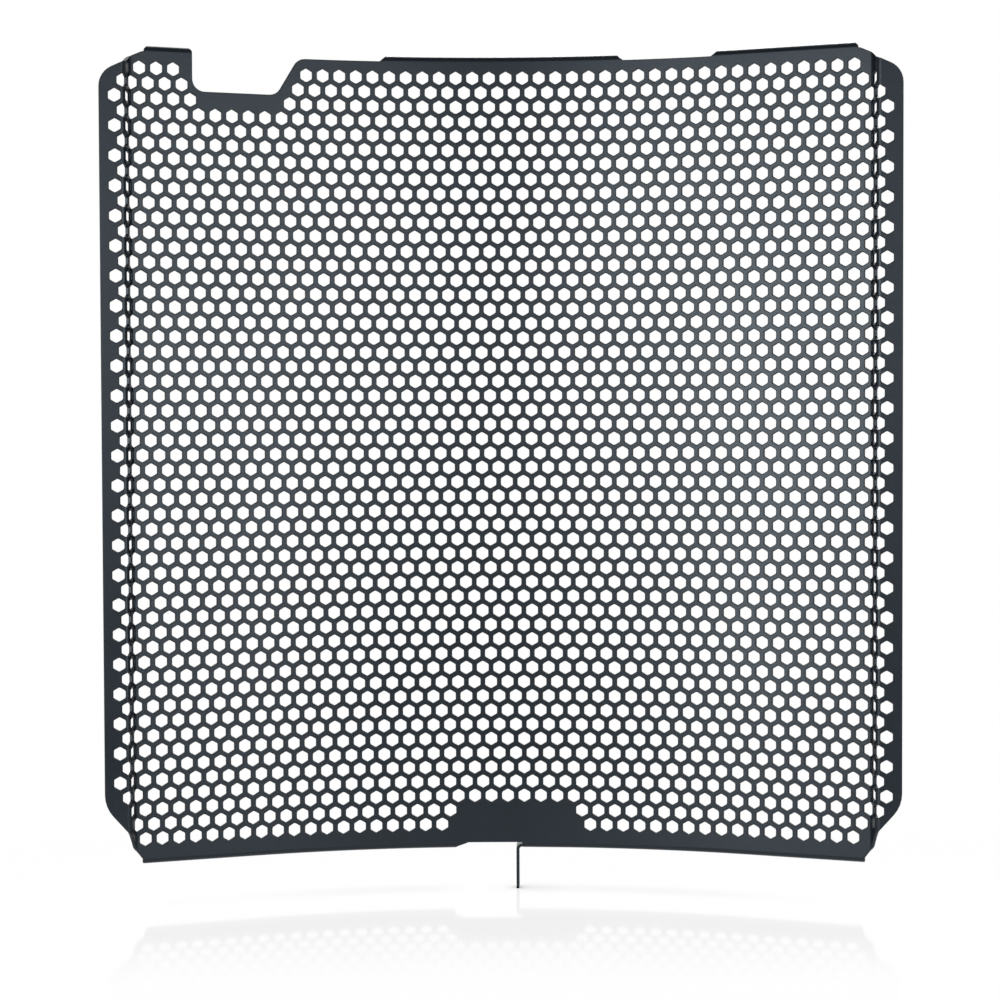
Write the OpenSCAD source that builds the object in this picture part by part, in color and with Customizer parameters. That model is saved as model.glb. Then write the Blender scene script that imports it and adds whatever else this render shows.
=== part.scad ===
// Motorcycle radiator guard, cut and folded from one sheet of aluminium.
// Seen from the front, which faces -Y, it is rolled hollow, with its sides nearer the viewer.
// Lips fold back over the top and the bottom of the radiator, and a tab hangs down for a bolt.
// Sizes across the blank are measured along the middle of its thickness, before it is rolled.
// Heights are measured up from the plain bottom edge.

/* [Sheet] */
// Thickness of the sheet
sheet_t = 1.5; // [1:0.25:2.5]
// Width of the flat blank, from side to side
blank_w = 394.5; // [385:0.5:425]
// Height of the blank between its plain edges
blank_h = 377; // [330:1:420]
// Inside radius of every fold
fold_r = 1.25; // [1:0.25:2.5]

/* [Roll] */
// Radius that the middle is rolled to, at the middle of the thickness
roll_r = 330; // [260:5:500]
// Width of blank that is rolled, with a flat on each side of it
roll_w = 240; // [180:5:280]

/* [Side flanges] */
// Width of each side flange, outside its fold
flange_w = 10; // [9:0.5:16]
// Slope of the side flanges, seen from above
flange_slope = 5; // [0:1:20]
// How far each side flange steps forward of the panel
step_h = 6; // [4:0.5:10]
// Angle between the panel and the wall of the step
step_angle = 60; // [45:1:80]

/* [Corners] */
// Where the top edge starts to slope, in from the side
top_corner_w = 24.5; // [22:0.5:40]
// How far the slope has dropped where it meets the side
top_corner_h = 11; // [6:0.5:20]
// Where the bottom edge ends, in from the side
bottom_corner_w = 21.5; // [20.5:0.5:40]
// Width of the steep end of the bottom edge
bottom_notch_w = 7.5; // [2:0.5:10]
// Height of that steep end
bottom_notch_h = 10; // [6:0.5:14]
// Height at which the slope above it meets the side
bottom_corner_h = 25.5; // [20:0.5:50]
// Radius of the upper corners of the side flanges; the other outer corners have half of it
corner_r = 10; // [4:0.5:14]

/* [Neck cut-out] */
// Distance from the left side of the blank to the upright side of the cut-out
neck_in = 48.25; // [47:0.25:60]
// Width of the cut-out at its floor
neck_w = 40.5; // [25:0.5:60]
// Depth of the cut-out
neck_h = 17.5; // [10:0.5:30]
// How far its other side leans outwards
neck_lean = 10.5; // [4:0.5:24]
// Radius of the corners of the cut-out
neck_r = 6; // [2:0.5:8]

/* [Lips] */
// Depth of the lips, from the front of the sheet to their rear edge
lip_depth = 15; // [12:0.5:20]
// Chamfer at the ends of the middle and lower lips
lip_chamfer = 2.4; // [0.5:0.1:4]
// Gap between the neck cut-out and the small top lip beside it
corner_lip_gap = 1.5; // [0.5:0.25:6]
// Width of the middle top lip
middle_lip_w = 116.5; // [60:0.5:140]
// How far the middle top lip sits to the right of the middle
middle_lip_x = 0; // [-10:0.5:10]
// Width of the right top lip
right_lip_w = 68; // [40:0.5:80]
// Gap between the outer ends of the lips and the corners of the blank
lip_end_gap = 1; // [0.5:0.25:6]
// Gap between the two lower lips
lower_gap = 25; // [20:0.5:50]

/* [Tab] */
// Distance from the middle of the guard to the tab's left face
tab_x = 6; // [0:0.5:20]
// Distance from the bottom edge of the sheet down to the middle of the bolt hole
tab_drop = 18; // [14:0.5:30]
// How far each edge of the tab stands in from the lip's rear edge and from the end of its fold
tab_inset = 0.5; // [0.25:0.25:2]
// Diameter of the bolt hole
tab_hole_d = 6.5; // [4.5:0.1:6.8]

/* [Honeycomb] */
// Distance between the middles of neighbouring cells
cell_pitch = 16; // [16:0.5:24]
// Width of the metal between neighbouring cells
cell_web = 3.5; // [2:0.1:5]
// Least width of plain metal between a cell and an edge
edge_margin = 2; // [1.5:0.25:8]
// Distance from the middle of the guard to the middle of the plain strip at the bottom edge
strip_x = 6; // [0:0.5:20]
// Width of that plain strip
strip_w = 57; // [30:1:90]
// Height of the plain strip
strip_h = 18; // [10:1:30]
// Distance between the small cells of a side flange
flange_cell_pitch = 13.86; // [12:0.02:20]
// Width across the flats of those small cells
flange_cell_w = 6.3; // [4:0.1:6.5]
// Least width of plain metal between a small cell and the sheet's edge
flange_margin = 1; // [0.5:0.25:3]
// Plain metal between the fold of a side flange and its small cells
flange_cell_gap = 0.1; // [0.1:0.1:1]

/* [Hidden] */
paint = [0.17, 0.18, 0.22];
// Flats that stand for one fold
fold_flats = 4;
// Flats that stand for one rounded corner
corner_flats = 6;
half_w = blank_w / 2;
neck_x = half_w - neck_in;
fold_mid_r = fold_r + sheet_t / 2;
lip_rise = fold_r + sheet_t;
panel_angle = roll_w / 2 / roll_r * 180 / PI;
step_fold = fold_mid_r * step_angle * PI / 180;
flange_fold = fold_mid_r * (panel_angle + step_angle - flange_slope) * PI / 180;
step_folds_h = fold_mid_r * (1 - 2 * cos(step_angle) + cos(panel_angle - flange_slope));
step_wall = (step_h - step_folds_h) / sin(step_angle);
// Places where the sheet changes direction, out from its middle
flange_start = half_w - flange_w;
wall_end = flange_start - flange_fold;
wall_start = wall_end - step_wall;
panel_end = wall_start - step_fold;
cell_w = cell_pitch - cell_web;
row_pitch = cell_pitch * sqrt(3) / 2;
column_pitch = cell_pitch / 2;
columns = ceil(panel_end / column_pitch);
rows = ceil(blank_h / row_pitch / 2);
cut_depth = 4 * sheet_t;

// Slope of the sheet, seen from above, at a distance out from its middle
function slope(out) = lookup(out, [
    [0, 0],
    [roll_w / 2, panel_angle],
    [panel_end, panel_angle],
    [wall_start, panel_angle + step_angle],
    [wall_end, panel_angle + step_angle],
    [flange_start, flange_slope],
    [half_w, flange_slope]
]);

// The lines at which one half of the sheet is bent, out from the middle
fold_lines = [
    for (k = [0:fold_flats]) panel_end + k * step_fold / fold_flats,
    for (k = [0:fold_flats]) wall_end + k * flange_fold / fold_flats
];
half_lines = [
    for (k = [0:columns - 1]) if (k * column_pitch < panel_end - sheet_t) k * column_pitch,
    each fold_lines,
    half_w
];
last_line = len(half_lines) - 1;

// Slope of the flat that follows a line
function flat_slope(i) = slope((half_lines[i] + half_lines[i + 1]) / 2);
// Places of the lines, seen from above
half_path = [
    for (
        i = 0, x = 0, y = 0;
        i <= last_line;
        x = x + (i < last_line ? (half_lines[i + 1] - half_lines[i]) * cos(flat_slope(i)) : 0),
        y = y - (i < last_line ? (half_lines[i + 1] - half_lines[i]) * sin(flat_slope(i)) : 0),
        i = i + 1
    ) [x, y]
];
x_table = [for (i = [0:last_line]) [half_lines[i], half_path[i][0]]];
y_table = [for (i = [0:last_line]) [half_lines[i], half_path[i][1]]];

function side(s) = s < 0 ? -1 : 1;
// Place, seen from above, of a point of the sheet's middle layer
function place(s) = [side(s) * lookup(abs(s), x_table), lookup(abs(s), y_table)];

// Slopes before and after a line, counted from the middle line out to each side
function slope_before(i) = i == 0 ? -flat_slope(0) : flat_slope(i - 1);
function slope_after(i) = i == last_line ? flat_slope(i - 1) : flat_slope(i);
// A point on a line, set back by a depth from the front face
function half_point(i, depth) =
    let (turn = (slope_before(i) + slope_after(i)) / 2, lean = (slope_after(i) - slope_before(i)) / 2)
    half_path[i] + (depth - sheet_t / 2) / cos(lean) * [sin(turn), cos(turn)];
// The same for lines counted from minus last_line on the left to last_line on the right
function line_point(i, depth) = let (p = half_point(abs(i), depth)) [side(i) * p[0], p[1]];

// Rounds the corners of an outline whose points are [across, up, radius]
function unit(v) = v / norm(v);
function turned(v, q) = [v[0] * cos(q) - v[1] * sin(q), v[0] * sin(q) + v[1] * cos(q)];
function rounded_corner(before, at, after, r) =
    let (
        a = unit(before - at),
        b = unit(after - at),
        half = acos(a * b) / 2,
        run = min(r / tan(half), 0.45 * norm(before - at), 0.45 * norm(after - at)),
        middle = at + unit(a + b) * run / cos(half),
        sweep = (180 - 2 * half) * (cross(a, b) < 0 ? 1 : -1)
    )
    [for (k = [0:corner_flats]) middle + turned(at + run * a - middle, sweep * k / corner_flats)];
function flat_point(p) = [p[0], p[1]];
function rounded(outline) = let (n = len(outline)) [
    for (i = [0:n - 1])
        let (at = outline[i], before = outline[(i + n - 1) % n], after = outline[(i + 1) % n])
        each (at[2] == 0
            ? [flat_point(at)]
            : rounded_corner(flat_point(before), flat_point(at), flat_point(after), at[2]))
];

// Outline of the blank without its lips, laid out flat
blank = rounded([
    [-half_w + bottom_corner_w, 0, 0],
    [half_w - bottom_corner_w, 0, 0],
    [half_w - bottom_corner_w + bottom_notch_w, bottom_notch_h, corner_r / 2],
    [half_w, bottom_corner_h, corner_r / 2],
    [half_w, blank_h - top_corner_h, corner_r],
    [half_w - top_corner_w, blank_h, corner_r / 2],
    [-neck_x + neck_w + neck_lean, blank_h, neck_r],
    [-neck_x + neck_w, blank_h - neck_h, neck_r],
    [-neck_x, blank_h - neck_h, neck_r],
    [-neck_x, blank_h, 0],
    [-half_w + top_corner_w, blank_h, corner_r / 2],
    [-half_w, blank_h - top_corner_h, corner_r],
    [-half_w, bottom_corner_h, corner_r / 2],
    [-half_w + bottom_corner_w - bottom_notch_w, bottom_notch_h, corner_r / 2]
]);

// The same outline as it is seen from the front, with a point wherever it crosses a fold
fold_count = len(fold_lines);
all_folds = [
    for (k = [1:fold_count]) -fold_lines[fold_count - k],
    each fold_lines
];
function crossings(a, b) = [
    for (k = [0:2 * fold_count - 1])
        let (s = all_folds[b[0] > a[0] ? k : 2 * fold_count - 1 - k])
        if ((s - a[0]) * (s - b[0]) < 0) a + (b - a) * (s - a[0]) / (b[0] - a[0])
];
front_outline = let (n = len(blank)) [
    for (i = [0:n - 1])
        for (p = concat([blank[i]], crossings(blank[i], blank[(i + 1) % n])))
            [place(p[0])[0], p[1]]
];

// Distance from a point to a stretch of an outline
function gap_to(p, a, b) =
    let (t = max(0, min(1, (p - a) * (b - a) / ((b - a) * (b - a)))))
    norm(p - a - t * (b - a));
function crosses(p, a, b) =
    (a[1] > p[1]) != (b[1] > p[1]) && p[0] < a[0] + (b[0] - a[0]) * (p[1] - a[1]) / (b[1] - a[1]);
// Whether a cell of a given reach stays inside the blank
function inside_blank(p, reach) =
    let (n = len(blank), hits = [for (i = [0:n - 1]) if (crosses(p, blank[i], blank[(i + 1) % n])) i])
    len(hits) % 2 == 1
    && min([for (i = [0:n - 1]) gap_to(p, blank[i], blank[(i + 1) % n])]) > reach;
// Whether it also leaves the plain strip whole
function off_strip(p, reach) =
    abs(p[0] - strip_x) > strip_w / 2 + reach || p[1] > strip_h + reach;
function across_corners(w) = w / cos(30);

// Numbers of the lines just outside and just inside a place on the sheet
function line_outside(s) = len([for (q = half_lines) if (q < abs(s)) q]);
function line_left_of(s) = s < 0 ? -line_outside(s) : line_outside(s) - 1;
function line_right_of(s) = s > 0 ? line_outside(s) : 1 - line_outside(s);

// The whole sheet, rolled and stepped, before its outline is cut
module rolled_sheet() {
    linear_extrude(height = blank_h)
        polygon(concat(
            [for (i = [-last_line:last_line]) line_point(i, 0)],
            [for (i = [-last_line:last_line]) line_point(-i, sheet_t)]
        ));
}

// Anything drawn as seen from the front, made thick enough to cut through the whole guard
module from_front() {
    rotate([90, 0, 0]) linear_extrude(height = blank_w, center = true) children();
}

// Pairs of outer and inner points of a lip's section, as [depth, height], from a little inside the sheet
lip_section = [
    [[0, -sheet_t], [sheet_t, -sheet_t]],
    for (k = [0:fold_flats])
        let (q = 90 * k / fold_flats)
        [
            [lip_rise * (1 - cos(q)), lip_rise * sin(q)],
            [lip_rise - fold_r * cos(q), fold_r * sin(q)]
        ],
    [[lip_depth, lip_rise], [lip_depth, fold_r]]
];

// A lip folded back from an edge at height 0, following the sheet from one line to another
module lip_strip(first, last) {
    pairs = len(lip_section);
    stations = last - first;
    function at(station, pair, inner) = (station * pairs + pair) * 2 + inner;
    polyhedron(
        points = [
            for (i = [first:last])
                for (pair = lip_section)
                    for (p = pair)
                        let (plan = line_point(i, p[0])) [plan[0], plan[1], p[1]]
        ],
        faces = concat(
            [for (j = [0:stations - 1]) for (k = [0:pairs - 2])
                [at(j, k, 0), at(j, k + 1, 0), at(j + 1, k + 1, 0), at(j + 1, k, 0)]],
            [for (j = [0:stations - 1]) for (k = [0:pairs - 2])
                [at(j, k, 1), at(j + 1, k, 1), at(j + 1, k + 1, 1), at(j, k + 1, 1)]],
            [for (j = [0:stations - 1])
                [at(j, pairs - 1, 0), at(j, pairs - 1, 1), at(j + 1, pairs - 1, 1), at(j + 1, pairs - 1, 0)]],
            [for (j = [0:stations - 1])
                [at(j, 0, 0), at(j + 1, 0, 0), at(j + 1, 0, 1), at(j, 0, 1)]],
            [for (k = [0:pairs - 2])
                [at(0, k, 0), at(0, k, 1), at(0, k + 1, 1), at(0, k + 1, 0)]],
            [for (k = [0:pairs - 2])
                [at(stations, k, 0), at(stations, k + 1, 0), at(stations, k + 1, 1), at(stations, k, 1)]]
        )
    );
}

// One lip between two places on the sheet, with its ends cut square and chamfered
module lip(from, to, from_chamfer, to_chamfer) {
    left = place(from)[0];
    right = place(to)[0];
    over = lip_rise;
    intersection() {
        lip_strip(line_left_of(from), line_right_of(to));
        from_front() polygon([
            [left, -over],
            [right, -over],
            [right, lip_rise - to_chamfer],
            [right - to_chamfer - over, lip_rise + over],
            [left + from_chamfer + over, lip_rise + over],
            [left, lip_rise - from_chamfer]
        ]);
    }
}

module top_lips() {
    out = half_w - top_corner_w - lip_end_gap;
    translate([0, 0, blank_h]) {
        lip(-out, -neck_x - corner_lip_gap, lip_chamfer / 2, lip_chamfer / 2);
        lip(middle_lip_x - middle_lip_w / 2, middle_lip_x + middle_lip_w / 2, lip_chamfer, lip_chamfer);
        lip(out - right_lip_w, out, lip_chamfer, lip_chamfer / 2);
    }
}

// The right lower lip starts where the tab's fold ends
lower_lip_start = tab_x + lip_rise;
module lower_lips() {
    out = half_w - bottom_corner_w - lip_end_gap;
    mirror([0, 0, 1]) {
        lip(-out, lower_lip_start - lower_gap, lip_chamfer / 2, lip_chamfer);
        lip(lower_lip_start, out, 0, lip_chamfer / 2);
    }
}

// The tab is the end of the right lower lip, folded down
tab_w = lip_depth - lip_rise - 2 * tab_inset;
tab_y = place(lower_lip_start)[1] - sheet_t / 2 + lip_rise + tab_inset + tab_w / 2;
module tab() {
    fold_z = -lip_rise - fold_r;
    overlap = 2 * sheet_t;
    translate([0, tab_y, 0])
        rotate([90, 0, 0])
            linear_extrude(height = tab_w, center = true) {
                translate([lower_lip_start, fold_z])
                    intersection() {
                        difference() {
                            circle(r = lip_rise, $fn = 48);
                            circle(r = fold_r, $fn = 48);
                        }
                        translate([-lip_rise, 0]) square([lip_rise, lip_rise]);
                    }
                translate([lower_lip_start, -lip_rise]) square([overlap, sheet_t]);
                translate([tab_x, -tab_drop]) square([sheet_t, tab_drop + fold_z]);
            }
    translate([tab_x, tab_y, -tab_drop])
        rotate([0, 90, 0])
            cylinder(d = tab_w, h = sheet_t, $fn = 64);
}
module tab_hole() {
    translate([tab_x - sheet_t, tab_y, -tab_drop])
        rotate([0, 90, 0])
            cylinder(d = tab_hole_d, h = 3 * sheet_t, $fn = 64);
}

// One six-sided cell with its corners up and down, square to the sheet
module cell(s, z, w) {
    p = place(s);
    translate([p[0], p[1], z])
        rotate([0, 0, -side(s) * slope(abs(s))])
            rotate([90, 90, 0])
                cylinder(d = across_corners(w), h = cut_depth, center = true, $fn = 6);
}

// The honeycomb of the panel, with a column of cells and a gap between rows at the blank's middle
module panel_cells() {
    reach = across_corners(cell_w) / 2 + edge_margin;
    for (c = [-columns:columns]) {
        s = c * column_pitch;
        if (abs(s) + cell_w / 2 + edge_margin < panel_end)
            for (r = [-rows:rows]) {
                z = blank_h / 2 + (r + 0.5) * row_pitch;
                if ((c + r) % 2 == 0 && inside_blank([s, z], reach) && off_strip([s, z], reach))
                    cell(s, z, cell_w);
            }
    }
}

// One column of small cells on each side flange, the right one half a step lower
module flange_cells() {
    reach = across_corners(flange_cell_w) / 2 + flange_margin;
    out = flange_start + flange_cell_gap + flange_cell_w / 2;
    count = ceil(blank_h / flange_cell_pitch / 2);
    for (left = [true, false])
        for (k = [-count:count]) {
            z = blank_h / 2 + (k - (left ? 0 : 0.5)) * flange_cell_pitch;
            if (inside_blank([out, z], reach)) cell(left ? -out : out, z, flange_cell_w);
        }
}

module guard() {
    color(paint)
        translate([-tab_x - sheet_t / 2, -tab_y, tab_drop])
            difference() {
                union() {
                    intersection() {
                        rolled_sheet();
                        from_front() polygon(front_outline);
                    }
                    top_lips();
                    lower_lips();
                    tab();
                }
                panel_cells();
                flange_cells();
                tab_hole();
            }
}

guard();
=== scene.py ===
import math

import bmesh
import bpy
import numpy as np
from mathutils import Matrix, Vector


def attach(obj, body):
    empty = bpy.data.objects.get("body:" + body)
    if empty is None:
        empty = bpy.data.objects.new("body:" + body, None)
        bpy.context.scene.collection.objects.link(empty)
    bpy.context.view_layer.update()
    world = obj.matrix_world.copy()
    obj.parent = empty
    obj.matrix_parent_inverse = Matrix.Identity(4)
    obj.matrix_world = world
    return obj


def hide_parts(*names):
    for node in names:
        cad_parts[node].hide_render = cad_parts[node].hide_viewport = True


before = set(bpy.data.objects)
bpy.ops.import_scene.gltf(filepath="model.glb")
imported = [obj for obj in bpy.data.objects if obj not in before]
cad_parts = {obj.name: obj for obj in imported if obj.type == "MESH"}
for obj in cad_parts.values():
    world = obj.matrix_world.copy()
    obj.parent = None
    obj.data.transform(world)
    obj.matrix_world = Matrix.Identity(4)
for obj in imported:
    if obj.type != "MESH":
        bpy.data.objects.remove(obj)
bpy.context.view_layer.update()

# Blank. The guard is one sheet of 1.5 mm aluminium, cut flat with its lips and bolt tab on it.
# Its outline is drawn as points across from the middle and up from the bottom edge, in metres,
# a hair inside the true edge, because the coat rounds every edge of the front.
mm = 0.001
sheet_t = 1.5 * mm
blank_w = 394.5 * mm
blank_h = 377 * mm
fold_r = 1.25 * mm
edge_ease = 0.4 * mm
flange_trim = 0.1 * mm
half_w = blank_w / 2
flange_edge = half_w - flange_trim
lip_rise = fold_r + sheet_t
fold_mid_r = fold_r + sheet_t / 2
square_fold = fold_mid_r * math.pi / 2
lip_depth = 15 * mm
lip_length = square_fold + lip_depth - lip_rise
fold_steps = 6

top_corner = (24.5 * mm, 11 * mm)
bottom_corner_w = 21.5 * mm
bottom_notch = (7.5 * mm, 10 * mm)
bottom_corner_h = 25.5 * mm
flange_corner_r = 10 * mm
flange_bend_r = 15 * mm
other_corner_r = 5 * mm
neck_in = 48.25 * mm
neck_x = half_w - neck_in
neck_w = 40.5 * mm
neck_h = 17.5 * mm
neck_lean = 10.5 * mm
neck_r = 6 * mm
lip_chamfer = 2.4 * mm
neck_lip_chamfer = 1 * mm
square_cut = 0.3 * mm
slanted_cut = 6.2 * mm
lip_corner_r = 1 * mm
lip_taper = 4 * mm
middle_lip_w = 116.5 * mm
right_lip_w = 70.4 * mm
corner_lip_gap = 1 * mm
lower_lip_gap = 0.3 * mm
top_lip_end = half_w - top_corner[0] - corner_lip_gap
lower_lip_end = half_w - bottom_corner_w - lower_lip_gap

tab_x = 6 * mm
tab_drop = 18 * mm
tab_inset = 0.5 * mm
tab_hole_d = 6.5 * mm
tab_end_sides = 24
tab_hole_sides = 48
lower_gap = 26 * mm
tab_fold_x = tab_x + lip_rise
tab_w = lip_depth - lip_rise - 2 * tab_inset
tab_up = -square_fold - tab_inset - tab_w / 2
tab_straight = tab_drop - lip_rise - fold_r
tab_end_x = tab_fold_x - square_fold - tab_straight


def lip_end(side, inward, edge, way, chamfer, taper=0.0):
    """The end of a lip, from the blank's edge outwards. It draws in where the fold has risen."""
    points = []
    slant = max(1.0, chamfer / lip_rise)
    for k in range(fold_steps + 1):
        length = square_fold * k / fold_steps
        rise = lip_rise * math.sin(length / fold_mid_r)
        drawn_in = max(0.0, chamfer - (lip_rise - rise) * slant)
        points.append((side + inward * drawn_in, edge + way * length, 0.0))
    points.append((side + inward * (chamfer + taper), edge + way * lip_length, lip_corner_r))
    return points


def lip(left, right, edge, way, left_chamfer, right_chamfer, left_taper=0.0, right_taper=0.0):
    """A lip's outline, in the order in which the blank's outline is followed."""
    left_end = lip_end(left, 1, edge, way, left_chamfer, left_taper)
    right_end = lip_end(right, -1, edge, way, right_chamfer, right_taper)
    return left_end + right_end[::-1] if way < 0 else right_end + left_end[::-1]


def rounded(corners, step=math.radians(12)):
    """Points of a closed outline whose corners are given as across, up and radius."""
    points = []
    for i, (x, y, r) in enumerate(corners):
        at = Vector((x, y))
        before = Vector(corners[i - 1][:2]) - at
        after = Vector(corners[(i + 1) % len(corners)][:2]) - at
        if r == 0:
            points.append(at)
            continue
        a, b = before.normalized(), after.normalized()
        half = a.angle(b) / 2
        run = min(r / math.tan(half), 0.45 * before.length, 0.45 * after.length)
        middle = at + (a + b).normalized() * run / math.cos(half)
        start, turn = at + a * run - middle, math.pi - 2 * half
        way = 1 if a.x * b.y - a.y * b.x < 0 else -1
        steps = max(2, math.ceil(turn / step))
        for k in range(steps + 1):
            points.append(middle + Matrix.Rotation(way * turn * k / steps, 2) @ start)
    return np.array([tuple(p) for p in points])


def edge_normals(points, following):
    """Directions that point away from the metal, for edges with the metal on their left."""
    along = following - points
    along /= np.linalg.norm(along, axis=1)[:, None]
    return np.stack([along[:, 1], -along[:, 0]], axis=1)


def mitred(before, after, by):
    """Moves that carry a corner out of the metal, square to the two edges that meet there."""
    lean = 1 + (before * after).sum(axis=1)
    return (before + after) * (by / np.maximum(lean, 0.3))[:, None]


def closely_spaced(points, gap=4 * mm):
    """Adds points on long edges, so that the sheet can follow its roll."""
    spaced = []
    for a, b in zip(points, np.roll(points, -1, axis=0)):
        count = max(1, math.ceil(np.linalg.norm(b - a) / gap))
        spaced += [a + (b - a) * k / count for k in range(count)]
    return np.array(spaced)


corners = [(-half_w + bottom_corner_w, 0, 0)]
corners += lip(-lower_lip_end, tab_fold_x - lower_gap, 0, -1, square_cut, slanted_cut, lip_taper)
corners += [
    (tab_fold_x, 0, 0),
    (tab_fold_x, tab_up + tab_w / 2, 0),
    *[
        (tab_end_x - tab_w / 2 * math.sin(q), tab_up + tab_w / 2 * math.cos(q), 0)
        for q in np.linspace(0, math.pi, tab_end_sides + 1)
    ],
    (tab_fold_x, tab_up - tab_w / 2, 0),
    (tab_fold_x, -lip_length, 0),
]
corners += lip_end(lower_lip_end, -1, 0, -1, square_cut, lip_taper)[::-1]
corners += [
    (half_w - bottom_corner_w, 0, 0),
    (half_w - bottom_corner_w + bottom_notch[0], bottom_notch[1], other_corner_r),
    (flange_edge, bottom_corner_h, flange_bend_r),
    (flange_edge, blank_h - top_corner[1], flange_corner_r),
    (half_w - top_corner[0], blank_h, other_corner_r),
]
corners += lip(
    top_lip_end - right_lip_w, top_lip_end, blank_h, 1,
    lip_chamfer, lip_chamfer / 2, right_taper=lip_taper,
)
corners += lip(-middle_lip_w / 2, middle_lip_w / 2, blank_h, 1, lip_chamfer, lip_chamfer)
corners += [
    (-neck_x + neck_w + neck_lean, blank_h, neck_r),
    (-neck_x + neck_w, blank_h - neck_h, neck_r),
    (-neck_x, blank_h - neck_h, neck_r),
]
corners += lip(-top_lip_end, -neck_x, blank_h, 1, lip_chamfer / 2, neck_lip_chamfer, lip_taper)
corners += [
    (-half_w + top_corner[0], blank_h, other_corner_r),
    (-flange_edge, blank_h - top_corner[1], flange_corner_r),
    (-flange_edge, bottom_corner_h, flange_bend_r),
    (-half_w + bottom_corner_w - bottom_notch[0], bottom_notch[1], other_corner_r),
]
outline = rounded(corners)
rim = edge_normals(outline, np.roll(outline, -1, axis=0))
outline = closely_spaced(outline - mitred(np.roll(rim, 1, axis=0), rim, edge_ease))
hole_turns = np.linspace(0, 2 * math.pi, tab_hole_sides, endpoint=False)
tab_hole = np.stack([
    tab_end_x + (tab_hole_d / 2 + edge_ease) * np.cos(hole_turns),
    tab_up + (tab_hole_d / 2 + edge_ease) * np.sin(hole_turns),
], axis=1)

# Honeycomb. The cells are six-sided with rounded corners, one of them up, and stand 8 mm apart.
# They are cut in one lattice over the blank, wherever a cell's middle falls in the open field (in
# mm), clear of the corners, the neck cut-out and the plain strip at the middle of the bottom edge.
cell_pitch = 8 * mm
cell_w = 5.65 * mm
cell_corner_r = 0.9 * mm
row_pitch = cell_pitch * math.sqrt(3) / 2
cell_rows = 53
cells_in_row = 48
rows_below_set_row = 37
set_row_up = 265.4 * mm
first_cell = (-190 * mm, set_row_up - rows_below_set_row * row_pitch, 0)
field = [
    (-176, 7), (-28, 7), (-20, 19.5), (32, 19.5), (40, 7), (172.5, 7), (178.5, 19.5), (191.5, 19.5),
    (191.5, 352.6), (175, 371), (-95.5, 371), (-104.5, 352), (-147.5, 352), (-156.5, 371),
    (-178, 371), (-191.5, 359.5), (-191.5, 33),
]


def node(tree, kind, **settings):
    made = tree.nodes.new(kind)
    for name, value in settings.items():
        setattr(made, name, value)
    return made


def feed(tree, made, **values):
    """Links or sets a node's inputs by name, with underscores for spaces."""
    for name, value in values.items():
        socket = made.inputs[name.replace("_", " ")]
        if isinstance(value, bpy.types.NodeSocket):
            tree.links.new(value, socket)
        else:
            socket.default_value = value
    return made


def reckon(tree, operation, first, second=None):
    """A maths node's result, from sockets or plain numbers."""
    made = node(tree, "ShaderNodeMath", operation=operation)
    for socket, value in zip(made.inputs, (first, second)):
        if isinstance(value, bpy.types.NodeSocket):
            tree.links.new(value, socket)
        elif value is not None:
            socket.default_value = value
    return made.outputs[0]


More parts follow.
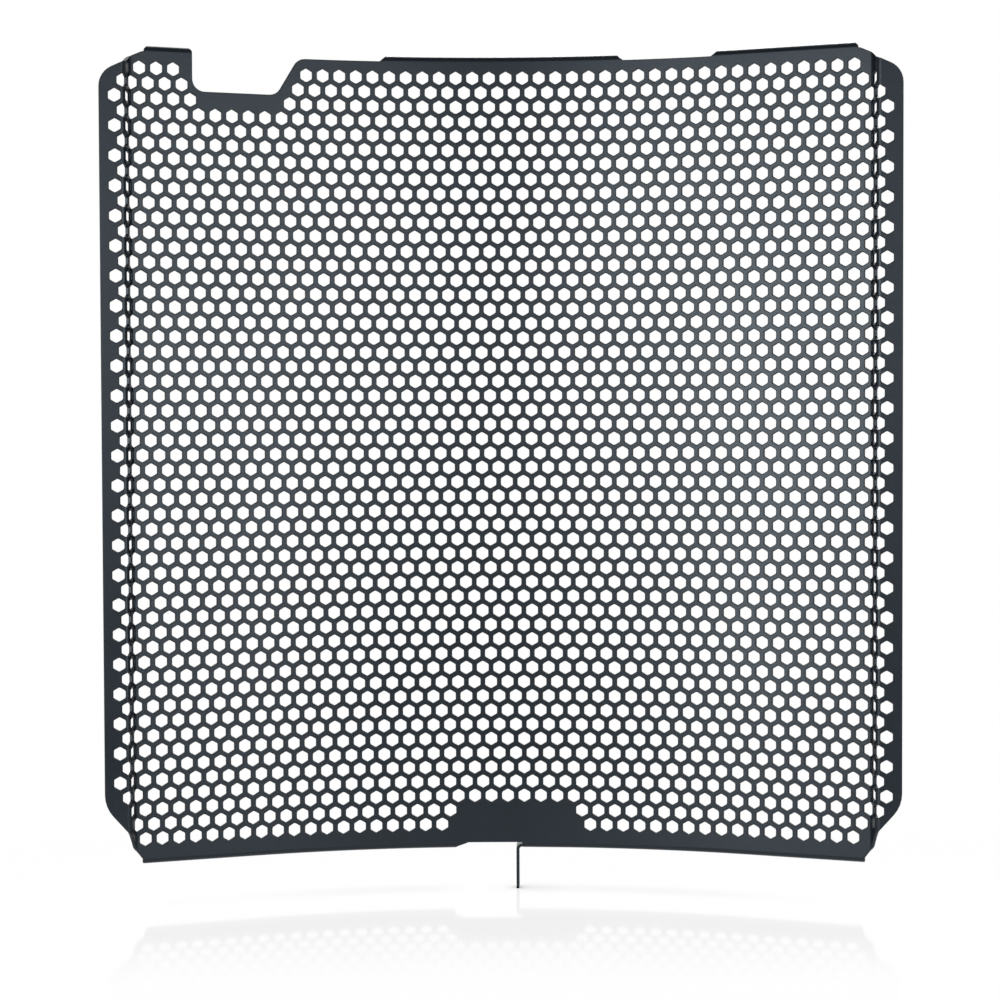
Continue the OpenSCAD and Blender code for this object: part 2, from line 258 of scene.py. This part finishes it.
def honeycomb_tree():
    """Cuts a lattice of six-sided cells out of a blank, wherever their middles lie in its field."""
    tree = bpy.data.node_groups.new("honeycomb_cells", "GeometryNodeTree")
    for name, kind in (
        ("Blank", "Geometry"), ("Cell pitch", "Float"), ("Cell width", "Float"),
        ("Rows", "Int"), ("Cells in a row", "Int"), ("First cell", "Vector"),
        ("Finish", "Material"),
    ):
        tree.interface.new_socket(name, in_out="INPUT", socket_type="NodeSocket" + kind)
    tree.interface.new_socket("Sheet", in_out="OUTPUT", socket_type="NodeSocketGeometry")
    given = node(tree, "NodeGroupInput").outputs
    marked = node(tree, "GeometryNodeInputNamedAttribute", data_type="BOOLEAN")
    marked.inputs["Name"].default_value = "field"
    parts = feed(
        tree, node(tree, "GeometryNodeSeparateGeometry", domain="POINT"),
        Geometry=given["Blank"], Selection=marked.outputs["Attribute"],
    )
    number = node(tree, "GeometryNodeInputIndex").outputs[0]
    row = reckon(tree, "FLOORED_MODULO", number, given["Rows"])
    rows_done = reckon(tree, "DIVIDE", reckon(tree, "ADD", number, 0.5), given["Rows"])
    column = reckon(tree, "FLOOR", rows_done)
    shift = reckon(tree, "MULTIPLY", reckon(tree, "FLOORED_MODULO", row, 2.0), 0.5)
    height = reckon(tree, "MULTIPLY", row, math.sqrt(3) / 2)
    place = feed(
        tree, node(tree, "ShaderNodeCombineXYZ"),
        X=reckon(tree, "MULTIPLY", reckon(tree, "ADD", column, shift), given["Cell pitch"]),
        Y=reckon(tree, "MULTIPLY", height, given["Cell pitch"]),
    )
    spot = node(tree, "ShaderNodeVectorMath", operation="ADD")
    tree.links.new(place.outputs[0], spot.inputs[0])
    tree.links.new(given["First cell"], spot.inputs[1])
    middles = feed(
        tree, node(tree, "GeometryNodePoints"), Position=spot.outputs[0],
        Count=reckon(tree, "MULTIPLY", given["Rows"], given["Cells in a row"]),
    )
    above = node(tree, "ShaderNodeVectorMath", operation="ADD")
    tree.links.new(node(tree, "GeometryNodeInputPosition").outputs[0], above.inputs[0])
    above.inputs[1].default_value = (0, 0, cell_pitch)
    over_field = feed(
        tree, node(tree, "GeometryNodeRaycast"),
        Target_Geometry=parts.outputs["Selection"], Source_Position=above.outputs[0],
        Ray_Direction=(0, 0, -1), Ray_Length=2 * cell_pitch,
    )
    cell = feed(
        tree, node(tree, "GeometryNodeCurvePrimitiveCircle", mode="RADIUS"),
        Resolution=6, Radius=reckon(tree, "DIVIDE", given["Cell width"], math.sqrt(3)),
    )
    cells = feed(
        tree, node(tree, "GeometryNodeInstanceOnPoints"),
        Points=middles.outputs[0], Selection=over_field.outputs["Is Hit"],
        Instance=cell.outputs["Curve"], Rotation=(0, 0, math.radians(30)),
    )
    edges = feed(tree, node(tree, "GeometryNodeMeshToCurve"), Mesh=parts.outputs["Inverted"])
    drawing = node(tree, "GeometryNodeJoinGeometry")
    tree.links.new(edges.outputs[0], drawing.inputs[0])
    tree.links.new(cells.outputs[0], drawing.inputs[0])
    lines = feed(tree, node(tree, "GeometryNodeRealizeInstances"), Geometry=drawing.outputs[0])
    sheet = feed(tree, node(tree, "GeometryNodeFillCurve"), Curve=lines.outputs[0])
    finish = feed(
        tree, node(tree, "GeometryNodeSetMaterial"),
        Geometry=sheet.outputs[0], Material=given["Finish"],
    )
    tree.links.new(finish.outputs[0], node(tree, "NodeGroupOutput").inputs["Sheet"])
    return tree


coat_dark = (0.0097, 0.0128, 0.0176, 1)
coat_light = (0.0120, 0.0156, 0.0210, 1)
coat_shine = (0.78, 0.91, 1.0, 1)


def powder_coat():
    """Satin powder coat, a dark blue grey: a fine orange peel, and a sheen that varies a little."""
    coat = bpy.data.materials.new("satin_blue_grey_powder_coat")
    coat.use_nodes = True
    tree = coat.node_tree
    shader = tree.nodes["Principled BSDF"]
    spot = node(tree, "ShaderNodeTexCoord").outputs["Object"]
    cloud = feed(
        tree, node(tree, "ShaderNodeTexNoise"), Vector=spot, Scale=22.0, Detail=3.0, Roughness=0.55
    )
    tint = node(tree, "ShaderNodeMix", data_type="RGBA")
    tree.links.new(cloud.outputs["Fac"], tint.inputs["Factor"])
    tint.inputs[6].default_value = coat_dark
    tint.inputs[7].default_value = coat_light
    tree.links.new(tint.outputs[2], shader.inputs["Base Color"])
    sheen = feed(
        tree, node(tree, "ShaderNodeMapRange"),
        Value=cloud.outputs["Fac"], From_Min=0.3, From_Max=0.7, To_Min=0.28, To_Max=0.34,
    )
    tree.links.new(sheen.outputs[0], shader.inputs["Roughness"])
    peel = feed(
        tree, node(tree, "ShaderNodeTexNoise"), Vector=spot, Scale=620.0, Detail=2.0, Roughness=0.5
    )
    grit = feed(
        tree, node(tree, "ShaderNodeTexNoise"), Vector=spot, Scale=2600.0, Detail=1.0, Roughness=0.5
    )
    fine = reckon(tree, "MULTIPLY", grit.outputs["Fac"], 0.25)
    height = reckon(tree, "ADD", peel.outputs["Fac"], fine)
    bump = feed(tree, node(tree, "ShaderNodeBump"), Height=height, Strength=0.6, Distance=0.03 * mm)
    tree.links.new(bump.outputs[0], shader.inputs["Normal"])
    shader.inputs["IOR"].default_value = 1.5
    shader.inputs["Specular IOR Level"].default_value = 0.3
    shader.inputs["Specular Tint"].default_value = coat_shine
    return coat


blank_mesh = bpy.data.meshes.new("blank")
places = [(x, y, 0) for x, y in outline] + [(x, y, 0) for x, y in tab_hole]
places += [(x * mm, y * mm, 0) for x, y in field]
edges, start = [], 0
for count in (len(outline), len(tab_hole)):
    edges += [(start + k, start + (k + 1) % count) for k in range(count)]
    start += count
blank_mesh.from_pydata(places, edges, [range(start, start + len(field))])
in_field = blank_mesh.attributes.new("field", "BOOLEAN", "POINT")
in_field.data.foreach_set("value", [k >= start for k in range(len(places))])

blank = bpy.data.objects.new("blank", blank_mesh)
bpy.context.scene.collection.objects.link(blank)
perforation = blank.modifiers.new("honeycomb", "NODES")
perforation.node_group = honeycomb_tree()
coat = powder_coat()
wanted = {
    "Cell pitch": cell_pitch, "Cell width": cell_w + 2 * edge_ease, "Rows": cell_rows,
    "Cells in a row": cells_in_row, "First cell": first_cell, "Finish": coat,
}
for item in perforation.node_group.interface.items_tree:
    if item.in_out == "INPUT" and item.name in wanted:
        perforation[item.identifier] = wanted[item.name]
bpy.context.view_layer.update()
evaluated = blank.evaluated_get(bpy.context.evaluated_depsgraph_get())
flat_sheet = bpy.data.meshes.new_from_object(evaluated)
bpy.data.objects.remove(blank)

# Roll and folds. The middle of the blank is rolled to 330 mm with its sides towards the viewer,
# each side is stepped forward by two folds into a flange, and the lips are folded back square.
# The bolt tab is the end of the right lower lip, folded down at its root.
roll_r = 330 * mm
roll_w = 240 * mm
flange_w = 10 * mm
flange_slope = math.radians(5)
step_h = 6 * mm
step_angle = math.radians(60)
panel_angle = roll_w / 2 / roll_r
step_fold = fold_mid_r * step_angle
flange_fold = fold_mid_r * (panel_angle + step_angle - flange_slope)
step_folds_h = fold_mid_r * (1 - 2 * math.cos(step_angle) + math.cos(panel_angle - flange_slope))
step_wall = (step_h - step_folds_h) / math.sin(step_angle)
flange_start = half_w - flange_w
wall_end = flange_start - flange_fold
wall_start = wall_end - step_wall
panel_end = wall_start - step_fold

wall_angle = panel_angle + step_angle
roll_samples = 40001
out_from_middle = np.linspace(0, half_w + mm, roll_samples)
slope_out = np.interp(
    out_from_middle,
    [0, roll_w / 2, panel_end, wall_start, wall_end, flange_start, half_w],
    [0, panel_angle, panel_angle, wall_angle, wall_angle, flange_slope, flange_slope],
)
step_out = np.diff(out_from_middle)
slope_between = (slope_out[1:] + slope_out[:-1]) / 2
side_out = np.concatenate([[0], np.cumsum(step_out * np.cos(slope_between))])
forward_out = np.concatenate([[0], np.cumsum(step_out * np.sin(slope_between))])


def rolled(across, depth):
    """Where points of the sheet lie, seen from above, at a depth behind its front face."""
    out = np.abs(across)
    side = np.where(across < 0, -1.0, 1.0)
    slope = np.interp(out, out_from_middle, slope_out)
    back = depth - sheet_t / 2
    x = np.interp(out, out_from_middle, side_out) + back * np.sin(slope)
    y = back * np.cos(slope) - np.interp(out, out_from_middle, forward_out)
    return side * x, y


tab_root_x, tab_root_y = (float(at[0]) for at in rolled(np.array([tab_fold_x]), sheet_t / 2))
tab_y = tab_root_y - sheet_t / 2 + lip_rise + tab_inset + tab_w / 2
tab_limit_x = tab_end_x - tab_w / 2 - mm
origin = np.array([tab_x + sheet_t / 2, tab_y, -tab_drop])
fold_zone = 12 * mm
touch = 0.001 * mm


def folded(across, up, layer):
    """Place in the row frame of a point of the blank, at a depth below its front face."""
    below = up < blank_h / 2
    past = np.maximum(np.where(below, -up, up - blank_h), 0)
    turn = np.minimum(past / fold_mid_r, math.pi / 2)
    r = lip_rise - layer
    depth = lip_rise - r * np.cos(turn) + np.maximum(past - square_fold, 0)
    depth = np.where(past > 0, depth, layer)
    rise = r * np.sin(turn)
    z = np.where(past > 0, np.where(below, -rise, blank_h + rise), up)
    x, y = rolled(across, depth)
    on_tab = (up < -square_fold) & (across < tab_fold_x) & (across > tab_limit_x)
    along = np.where(on_tab, tab_fold_x - across, 0)
    bend = np.minimum(along / fold_mid_r, math.pi / 2)
    inner_r = fold_r + layer
    root_x, root_y = rolled(np.full_like(across, tab_fold_x), depth)
    root_slope = float(np.interp(tab_fold_x, out_from_middle, slope_out))
    reach = inner_r * np.sin(bend)
    squared = bend / (math.pi / 2)
    squared = squared * squared * (3 - 2 * squared)
    leaning_x = root_x - reach * math.cos(root_slope)
    leaning_y = root_y + reach * math.sin(root_slope)
    hung_x = leaning_x * (1 - squared) + (tab_root_x - reach) * squared
    hung_y = leaning_y * (1 - squared) + (tab_y + tab_up - up) * squared
    hung_z = inner_r * np.cos(bend) - lip_rise - fold_r - np.maximum(along - square_fold, 0)
    x, y, z = (np.where(on_tab, a, b) for a, b in ((hung_x, x), (hung_y, y), (hung_z, z)))
    return np.stack([x, y, z], axis=1) - origin


def crease(bm, at, square_to, faces):
    """Cuts edges along one line of the blank, so that the sheet can bend there."""
    corners = dict.fromkeys(v for f in faces for v in f.verts)
    sides = dict.fromkeys(e for f in faces for e in f.edges)
    bmesh.ops.bisect_plane(
        bm, geom=[*faces, *sides, *corners], dist=touch, plane_co=at, plane_no=square_to
    )


def tab_faces(bm):
    """The faces of the blank that hang down as the bolt tab."""
    return [
        f for f in bm.faces
        if all(v.co.y < -square_fold + 10 * touch and tab_limit_x < v.co.x for v in f.verts)
        and any(v.co.x < tab_fold_x + 10 * touch for v in f.verts)
    ]


across_fold, up_fold = (1, 0, 0), (0, 1, 0)
bm = bmesh.new()
bm.from_mesh(flat_sheet)
bmesh.ops.remove_doubles(bm, verts=bm.verts, dist=2 * touch)
for k in range(fold_steps + 1):
    done = k / fold_steps
    length = square_fold * done
    low = [f for f in bm.faces if f.calc_center_median().y < fold_zone]
    crease(bm, (0, -length, 0), up_fold, low)
    high = [f for f in bm.faces if f.calc_center_median().y > blank_h - fold_zone]
    crease(bm, (0, blank_h + length, 0), up_fold, high)
    crease(bm, (tab_fold_x - length, 0, 0), across_fold, tab_faces(bm))
    for way in (-1, 1):
        for line in (panel_end + step_fold * done, wall_end + flange_fold * done):
            side = [f for f in bm.faces if way * f.calc_center_median().x > panel_end - fold_zone]
            crease(bm, (way * line, 0, 0), across_fold, side)
bm.verts.index_update()
flat = np.array([v.co[:2] for v in bm.verts])
faces = [[v.index for v in f.verts] for f in bm.faces]
rims = [(s.vert.index, s.link_loop_next.vert.index)
        for f in bm.faces for s in f.loops if s.edge.is_boundary]
bm.free()
bpy.data.meshes.remove(flat_sheet)

# The rims of the holes and of the outline. The front's edges are eased by a ring that runs from
# the flat of the front to the wall, where each corner of a cell is three points on a small arc.
# Every corner of a face shades as the curve that it stands on does.
first, last = np.array(rims).T
rim_out = edge_normals(flat[first], flat[last])
rim_number = {int(a): k for k, a in enumerate(first)}
after = np.array([rim_number[int(b)] for b in last])
before = np.argsort(after)
out_before = rim_out[before]
true_rim = flat[first] + mitred(out_before, rim_out, edge_ease)
back = flat.copy()
back[first] = true_rim


def unit(rows):
    return rows / np.linalg.norm(rows, axis=1)[:, None]


def spread(points, layer):
    """Directions in space of the blank's two axes, at points of the folded sheet."""
    nudge = 0.02 * mm
    layer = np.full(len(points), float(layer))
    across, up = points[:, 0], points[:, 1]
    return (
        unit(folded(across + nudge, up, layer) - folded(across - nudge, up, layer)),
        unit(folded(across, up + nudge, layer) - folded(across, up - nudge, layer)),
    )


turn = np.degrees(np.arctan2(
    out_before[:, 0] * rim_out[:, 1] - out_before[:, 1] * rim_out[:, 0],
    (out_before * rim_out).sum(axis=1),
))
cell_corner = (turn < -50) & (turn > -70)
halfway = unit(out_before + rim_out)
weight = (np.linalg.norm(flat[last] - flat[first], axis=1) / mm)[:, None] ** 4
blended = unit(out_before * weight[before] + rim_out * weight)
gentle = np.where(np.abs(turn)[:, None] < 40, blended, 0)
arc_middle = true_rim + halfway * cell_corner_r / math.cos(math.radians(30))
lead = np.cumsum(1 + 2 * cell_corner) - 1 - 2 * cell_corner
tail = lead + 2 * cell_corner
wall_points = np.repeat(true_rim, 1 + 2 * cell_corner, axis=0)
wall_out = np.repeat(halfway, 1 + 2 * cell_corner, axis=0)
at_corner = lead[cell_corner]
for place, way in ((at_corner, out_before), (at_corner + 1, halfway), (at_corner + 2, rim_out)):
    wall_points[place] = (arc_middle - way * cell_corner_r)[cell_corner]
    wall_out[place] = way[cell_corner]
sharp = (cell_corner | ~gentle.any(axis=1))[:, None]
start_way = np.where(sharp, rim_out, gentle)
end_way = np.where(sharp[after], rim_out, gentle[after])


def facing_out(points, ways):
    """Directions in space of ways along the blank."""
    across_way, up_way = spread(points, sheet_t / 2)
    return unit(across_way * ways[:, :1] + up_way * ways[:, 1:])


count = len(flat)
places = np.concatenate([
    folded(points[:, 0], points[:, 1], np.full(len(points), float(layer)))
    for points, layer in ((flat, 0), (back, sheet_t), (wall_points, edge_ease))
])
front_facing = unit(np.cross(*spread(flat, 0)))
back_facing = -unit(np.cross(*spread(back, sheet_t)))
start_facing, end_facing = facing_out(true_rim, start_way), facing_out(true_rim[after], end_way)
wall_facing = facing_out(wall_points, wall_out)
lead, tail = lead + 2 * count, tail + 2 * count
at_corner = lead[cell_corner]
corner = first[cell_corner]


def shaded(corners, facings):
    """Faces of one kind with the direction that each of their corners shades towards."""
    return np.stack(corners, axis=1).tolist(), np.stack(facings, axis=1).reshape(-1, 3)


wall = [wall_facing[at_corner - 2 * count + k] for k in range(3)]
turned_over = [f[::-1] for f in faces]
kinds = [
    (faces, front_facing[[v for f in faces for v in f]]),
    ([[count + v for v in f] for f in turned_over],
     back_facing[[v for f in turned_over for v in f]]),
    shaded((last, first, tail, lead[after]),
           (front_facing[last], front_facing[first], start_facing, end_facing)),
    shaded((lead[after], tail, count + first, count + last),
           (end_facing, start_facing, start_facing, end_facing)),
]
for k in (0, 1):
    near, far = at_corner + k, at_corner + k + 1
    kinds.append(shaded((corner, near, far), (front_facing[corner], wall[k], wall[k + 1])))
    kinds.append(shaded((far, near, count + corner), (wall[k + 1], wall[k], wall[1])))
sheet_mesh = bpy.data.meshes.new("guard_sheet")
sheet_mesh.from_pydata(places.tolist(), [], [f for made, _ in kinds for f in made])
sheet_mesh.materials.append(coat)
sheet_mesh.shade_smooth()
sheet_mesh.normals_split_custom_set(np.concatenate([facings for _, facings in kinds]).tolist())
guard_sheet = bpy.data.objects.new("guard_sheet", sheet_mesh)
bpy.context.scene.collection.objects.link(guard_sheet)
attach(guard_sheet, "root")
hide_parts("guard")

# Studio. A white floor that the tab stands on, with a faint reflection, in a dark room. Five
# softboxes stand in front, from side to side and level with the guard, and one behind lights the
# back. The camera stands where the photo's did.
floor_z = -tab_w / 2
floor_reach = 6.0
shadow_reach = 25 * mm
gloss_tilt = math.radians(4.2)


def ramp(tree, value, start, end, low, high):
    """A value that eases from low to high while another goes from start to end."""
    made = feed(
        tree, node(tree, "ShaderNodeMapRange", interpolation_type="SMOOTHSTEP"),
        Value=value, From_Min=start, From_Max=end, To_Min=low, To_Max=high,
    )
    return made.outputs[0]


def white_floor():
    """White where seen, a painted shadow where the guard shuts it in, a little glossy near it."""
    paint = bpy.data.materials.new("white_studio_floor")
    paint.use_nodes = True
    tree = paint.node_tree
    tree.nodes.clear()
    spot = node(tree, "ShaderNodeTexCoord").outputs["Object"]
    away = feed(tree, node(tree, "ShaderNodeVectorMath", operation="LENGTH"), Vector=spot)
    away = away.outputs["Value"]
    ahead = feed(tree, node(tree, "ShaderNodeSeparateXYZ"), Vector=spot).outputs["Y"]
    path = node(tree, "ShaderNodeLightPath").outputs
    mirrored = reckon(tree, "MAXIMUM", path["Is Glossy Ray"], path["Is Transmission Ray"])
    near = ramp(tree, away, 0.15, 0.45, 1.0, 0.0)
    polish = ramp(tree, reckon(tree, "ABSOLUTE", ahead), 0.09, 0.21, 0.13, 0.012)
    polish = reckon(tree, "MULTIPLY", polish, ramp(tree, away, 0.24, 0.4, 1.0, 0.0))
    lean = ramp(tree, ahead, -0.02, 0.02, -math.sin(gloss_tilt), math.sin(gloss_tilt))
    seen = reckon(tree, "MAXIMUM", path["Is Camera Ray"], reckon(tree, "MULTIPLY", mirrored, near))
    # Painted shadow: the floor's white glow is dimmed where ambient occlusion finds the guard close
    # above it.
    open_share = feed(
        tree, node(tree, "ShaderNodeAmbientOcclusion", samples=16), Distance=shadow_reach
    )
    shut_in = reckon(tree, "SUBTRACT", 1.0, open_share.outputs["AO"])
    depth = ramp(tree, away, 0.07, 0.15, 1.6, 0.3)
    shade = reckon(tree, "MULTIPLY", reckon(tree, "MULTIPLY", shut_in, shut_in), depth)
    matt = feed(tree, node(tree, "ShaderNodeBsdfDiffuse"), Color=(0.82, 0.82, 0.82, 1))
    glow = feed(
        tree, node(tree, "ShaderNodeEmission"),
        Color=(1, 1, 1, 1), Strength=reckon(tree, "SUBTRACT", 1.0, shade),
    )
    gloss = feed(tree, node(tree, "ShaderNodeBsdfGlossy"), Color=(1, 1, 1, 1), Roughness=0.1)
    tilt = feed(tree, node(tree, "ShaderNodeCombineXYZ"), Y=lean, Z=math.cos(gloss_tilt))
    tree.links.new(tilt.outputs[0], gloss.inputs["Normal"])
    lit = node(tree, "ShaderNodeMixShader")
    tree.links.new(seen, lit.inputs[0])
    tree.links.new(matt.outputs[0], lit.inputs[1])
    tree.links.new(glow.outputs[0], lit.inputs[2])
    polished = node(tree, "ShaderNodeMixShader")
    share = reckon(tree, "MULTIPLY", path["Is Camera Ray"], polish)
    sheen = reckon(tree, "MULTIPLY", mirrored, ramp(tree, away, 0.1, 1.2, 0.1, 0.7))
    tree.links.new(reckon(tree, "ADD", share, sheen), polished.inputs[0])
    tree.links.new(lit.outputs[0], polished.inputs[1])
    tree.links.new(gloss.outputs[0], polished.inputs[2])
    tree.links.new(polished.outputs[0], node(tree, "ShaderNodeOutputMaterial").inputs["Surface"])
    return paint


floor_mesh = bpy.data.meshes.new("studio_floor")
floor_corners = [
    (floor_reach * x, floor_reach * y, floor_z) for x, y in ((-1, -1), (1, -1), (1, 1), (-1, 1))
]
floor_mesh.from_pydata(floor_corners, [], [(0, 1, 2, 3)])
floor_mesh.materials.append(white_floor())
floor = bpy.data.objects.new("studio_floor", floor_mesh)
bpy.context.scene.collection.objects.link(floor)

room = bpy.data.worlds.new("dark_room_white_behind")
room.use_nodes = True
bpy.context.scene.world = room
tree = room.node_tree
tree.nodes.clear()
white = feed(tree, node(tree, "ShaderNodeBackground"), Color=(1, 1, 1, 1), Strength=1.0)
dim = feed(tree, node(tree, "ShaderNodeBackground"), Color=(0.92, 0.96, 1, 1), Strength=0.06)
toward = node(tree, "ShaderNodeSeparateXYZ")
tree.links.new(node(tree, "ShaderNodeTexCoord").outputs["Generated"], toward.inputs[0])
behind = ramp(tree, toward.outputs["Y"], 0.0, 0.3, 0.0, 1.0)
path = node(tree, "ShaderNodeLightPath").outputs
mirrored = reckon(tree, "MAXIMUM", path["Is Glossy Ray"], path["Is Transmission Ray"])
either = node(tree, "ShaderNodeMixShader")
shown = reckon(tree, "MAXIMUM", path["Is Camera Ray"], reckon(tree, "MULTIPLY", mirrored, behind))
tree.links.new(shown, either.inputs[0])
tree.links.new(dim.outputs[0], either.inputs[1])
tree.links.new(white.outputs[0], either.inputs[2])
tree.links.new(either.outputs[0], node(tree, "ShaderNodeOutputWorld").inputs["Surface"])

aim_up = 265.4 * mm
middle = Vector((-tab_x - sheet_t / 2, -tab_y, tab_drop + aim_up))


def softbox(name, turn, lift, distance, size, power):
    """An area light that looks at the guard from a turn and a lift, in degrees."""
    light = bpy.data.lights.new(name, "AREA")
    light.shape = "RECTANGLE"
    light.size, light.size_y = size
    light.energy = power
    lamp = bpy.data.objects.new(name, light)
    bpy.context.scene.collection.objects.link(lamp)
    turn, lift = math.radians(turn), math.radians(lift)
    level = math.cos(lift)
    way = Vector((math.sin(turn) * level, -math.cos(turn) * level, math.sin(lift)))
    faced = way.to_track_quat("Z", "Y").to_matrix().to_4x4()
    lamp.matrix_world = Matrix.Translation(middle + way * distance) @ faced


softbox("left_softbox", -38, 0.5, 2.2, (0.85, 0.7), 17)
softbox("inner_left_softbox", -18, 4, 2.2, (0.75, 0.45), 9)
softbox("middle_softbox", 0, 4, 2.2, (0.7, 0.45), 1.2)
softbox("inner_right_softbox", 18, 4, 2.2, (0.75, 0.45), 6.5)
softbox("right_softbox", 38, 0.5, 2.2, (0.85, 0.7), 10.5)
softbox("rear_softbox", 165, 35, 2.4, (1.6, 1.0), 36)

camera_back = 1141.45 * mm
camera_side = -1.0 * mm
camera_drop = -60.59 * mm
camera_tilt = math.radians(-1.9268)
camera_yaw = math.radians(0.6052)
camera_roll = math.radians(-0.2084)
camera_lens = 84.965
camera_sensor = 36
turned = (Matrix.Rotation(camera_roll, 3, "Y") @ Matrix.Rotation(-camera_yaw, 3, "Z")).transposed()
lens = bpy.data.cameras.new("camera")
lens.sensor_width = camera_sensor
lens.lens = camera_lens
camera = bpy.data.objects.new("camera", lens)
bpy.context.scene.collection.objects.link(camera)
camera.matrix_world = (
    Matrix.Translation(middle + turned @ Vector((camera_side, -camera_back, camera_drop)))
    @ (turned @ Matrix.Rotation(math.pi / 2 + camera_tilt, 3, "X")).to_4x4()
)
bpy.context.scene.camera = camera
bpy.context.scene.view_settings.view_transform = "Standard"
